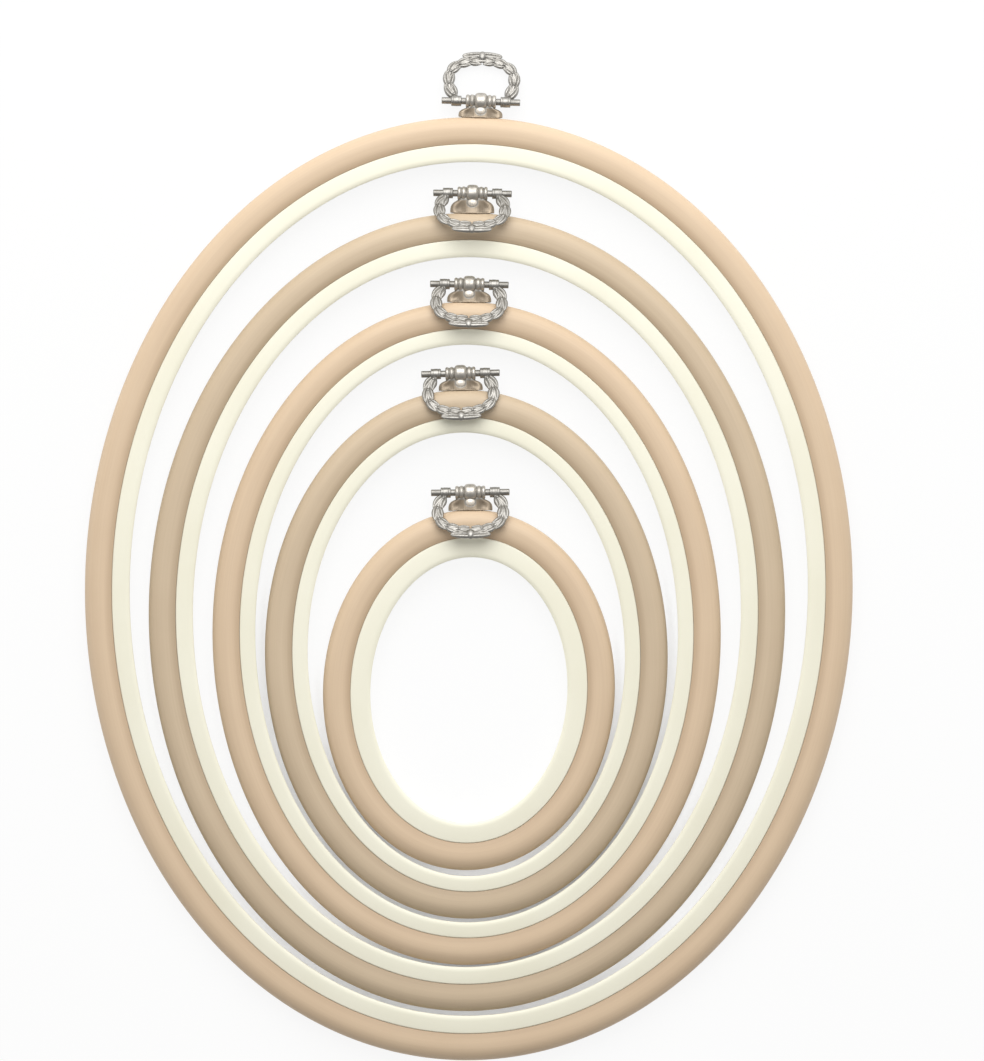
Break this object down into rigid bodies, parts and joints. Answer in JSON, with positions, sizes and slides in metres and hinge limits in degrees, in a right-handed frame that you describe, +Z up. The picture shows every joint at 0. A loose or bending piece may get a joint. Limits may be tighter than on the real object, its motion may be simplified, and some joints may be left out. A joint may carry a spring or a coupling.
{
  "type": "embroidery hoop",
  "caption": "Nested oval flexible embroidery hoops lying flat: soft D-section outer bands stretched over rigid plastic rims, each with a cast metal lug, pin and hanging ring.",
  "frame": {"origin": "on the table, under the middle of the box round the whole set as it lies", "axes": "+Z up from the table through the flat hoops, +Y along the hoops' long axis towards the hanging rings, +X to the right seen from above with the rings at the top"},
  "size_m": [0.2534, 0.3334, 0.0172],
  "materials": {
    "light_tan_vinyl": "smooth satin vinyl in a light wood tan",
    "deep_tan_vinyl": "smooth satin vinyl in a slightly deeper, greyer tan",
    "cream_plastic": "smooth satin cream plastic",
    "antique_silver": "cast and plated, antique silver with dark recesses and bright high spots",
    "screw_steel": "plain zinc-plated steel"
  },
  "bodies": {
    "inner_1": {"inner_hoop_1": "cream_plastic"},
    "outer_1": {"outer_hoop_1": "light_tan_vinyl", "hanger_lug_1": "antique_silver", "hanger_screw_1": "screw_steel"},
    "ring_1": {"hanger_ring_1": "antique_silver", "hanger_pin_1": "antique_silver"},
    "inner_2": {"inner_hoop_2": "cream_plastic"},
    "outer_2": {"outer_hoop_2": "deep_tan_vinyl", "hanger_lug_2": "antique_silver", "hanger_screw_2": "screw_steel"},
    "ring_2": {"hanger_ring_2": "antique_silver", "hanger_pin_2": "antique_silver"},
    "inner_3": {"inner_hoop_3": "cream_plastic"},
    "outer_3": {"outer_hoop_3": "light_tan_vinyl", "hanger_lug_3": "antique_silver", "hanger_screw_3": "screw_steel"},
    "ring_3": {"hanger_ring_3": "antique_silver", "hanger_pin_3": "antique_silver"},
    "inner_4": {"inner_hoop_4": "cream_plastic"},
    "outer_4": {"outer_hoop_4": "deep_tan_vinyl", "hanger_lug_4": "antique_silver", "hanger_screw_4": "screw_steel"},
    "ring_4": {"hanger_ring_4": "antique_silver", "hanger_pin_4": "antique_silver"},
    "inner_5": {"inner_hoop_5": "cream_plastic"},
    "outer_5": {"outer_hoop_5": "light_tan_vinyl", "hanger_lug_5": "antique_silver", "hanger_screw_5": "screw_steel"},
    "ring_5": {"hanger_ring_5": "antique_silver", "hanger_pin_5": "antique_silver"}
  },
  "joints": [
    {"name": "outer_1_lifts_off", "type": "slide", "parent": "inner_1", "child": "outer_1", "axis": [0, 0, 1], "range_m": [0, 0.02]},
    {"name": "ring_1_swing", "type": "hinge", "parent": "outer_1", "child": "ring_1", "pos_m": [0.00399, 0.1496, 0.0056], "axis": [0.9995, -0.0309, 0], "range_deg": [0, 167]},
    {"name": "hoop_2_lifts_out", "type": "slide", "parent": "inner_1", "child": "inner_2", "axis": [0, 0, 1], "range_m": [0, 0.03]},
    {"name": "outer_2_lifts_off", "type": "slide", "parent": "inner_2", "child": "outer_2", "axis": [0, 0, 1], "range_m": [0, 0.02]},
    {"name": "ring_2_swing", "type": "hinge", "parent": "outer_2", "child": "ring_2", "pos_m": [0.00123, 0.11929, 0.0056], "axis": [-0.9999, 0.015, 0], "range_deg": [-14, 118]},
    {"name": "hoop_3_lifts_out", "type": "slide", "parent": "inner_1", "child": "inner_3", "axis": [0, 0, 1], "range_m": [0, 0.03]},
    {"name": "outer_3_lifts_off", "type": "slide", "parent": "inner_3", "child": "outer_3", "axis": [0, 0, 1], "range_m": [0, 0.02]},
    {"name": "ring_3_swing", "type": "hinge", "parent": "outer_3", "child": "ring_3", "pos_m": [0.00019, 0.08925, 0.0056], "axis": [-0.9999, 0.0153, 0], "range_deg": [-8, 121]},
    {"name": "hoop_4_lifts_out", "type": "slide", "parent": "inner_1", "child": "inner_4", "axis": [0, 0, 1], "range_m": [0, 0.03]},
    {"name": "outer_4_lifts_off", "type": "slide", "parent": "inner_4", "child": "outer_4", "axis": [0, 0, 1], "range_m": [0, 0.02]},
    {"name": "ring_4_swing", "type": "hinge", "parent": "outer_4", "child": "ring_4", "pos_m": [-0.00276, 0.05985, 0.0056], "axis": [-0.9998, -0.0218, 0], "range_deg": [-1.5, 114]},
    {"name": "hoop_5_lifts_out", "type": "slide", "parent": "inner_1", "child": "inner_5", "axis": [0, 0, 1], "range_m": [0, 0.03]},
    {"name": "outer_5_lifts_off", "type": "slide", "parent": "inner_5", "child": "outer_5", "axis": [0, 0, 1], "range_m": [0, 0.02]},
    {"name": "ring_5_swing", "type": "hinge", "parent": "outer_5", "child": "ring_5", "pos_m": [0.00048, 0.02061, 0.0056], "axis": [-0.9999, -0.0104, 0], "range_deg": [-5.5, 160]}
  ]
}
